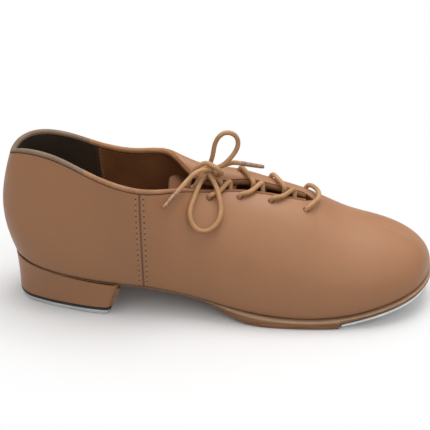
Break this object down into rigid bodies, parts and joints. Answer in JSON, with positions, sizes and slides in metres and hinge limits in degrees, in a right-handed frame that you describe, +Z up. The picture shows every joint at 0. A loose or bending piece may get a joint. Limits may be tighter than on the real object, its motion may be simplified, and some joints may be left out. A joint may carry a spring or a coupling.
{
  "type": "tap shoe",
  "caption": "Low lace-up tap shoe in smooth leather for the right foot, with a covered block heel, aluminium heel and toe taps and a round lace tied in a bow.",
  "frame": {"origin": "under the middle of the shoe, on the ground that the heel tap and the ball of the sole rest on", "axes": "+X points to the toe, +Y to the inner (medial) side of the foot, +Z up"},
  "size_m": [0.2564, 0.0849, 0.1059],
  "materials": {
    "upper_leather": "smooth, semi-matt",
    "front_lining": "matt",
    "tongue_leather": "matt",
    "heel_suede": "suede",
    "front_binding": "ribbed tape",
    "rear_binding": "ribbed tape",
    "stiffener": "matt",
    "tape": "woven",
    "fibreboard": "matt",
    "foam": "matt foam",
    "cork": "matt",
    "steel": "plain",
    "sole_leather": "smooth",
    "heel_stack": "matt",
    "sounding_board": "matt black",
    "tap_aluminium": "satin",
    "screw": "plain",
    "lace": "round braid",
    "aglet": "glossy"
  },
  "bodies": {
    "shoe": {"aglet_1": "aglet", "aglet_2": "aglet", "bottom_filler": "cork", "collar_binding_lateral": "front_binding", "collar_binding_medial": "front_binding", "collar_binding_rear": "rear_binding", "eyelet_stay_lateral": "tape", "eyelet_stay_medial": "tape", "front_lining": "front_lining", "heel_block": "heel_stack", "heel_counter": "stiffener", "heel_cover": "upper_leather", "heel_lining": "heel_suede", "heel_nail_1": "steel", "heel_nail_2": "steel", "heel_nail_3": "steel", "heel_nail_4": "steel", "heel_pad": "foam", "heel_screw": "steel", "heel_sounding_board": "sounding_board", "heel_tap": "tap_aluminium", "heel_tap_screw_1": "screw", "heel_tap_screw_2": "screw", "heel_tap_screw_3": "screw", "insole_board": "fibreboard", "lace": "lace", "outsole": "sole_leather", "quarter": "upper_leather", "shank": "steel", "side_seam_tape_lateral": "tape", "side_seam_tape_medial": "tape", "sock_liner": "front_lining", "toe_puff": "stiffener", "toe_sounding_board": "sounding_board", "toe_tap": "tap_aluminium", "toe_tap_screw_1": "screw", "toe_tap_screw_2": "screw", "toe_tap_screw_3": "screw", "vamp": "upper_leather"},
    "tongue": {"tongue": "tongue_leather"}
  },
  "joints": [
    {"name": "tongue_hinge", "type": "hinge", "parent": "shoe", "child": "tongue", "pos_m": [0.0713, 0.0026, 0.0498], "axis": [0, -1, 0], "range_deg": [0, 12], "stiffness_Nm_per_rad": 0.05, "springref_deg": -8.59}
  ]
}
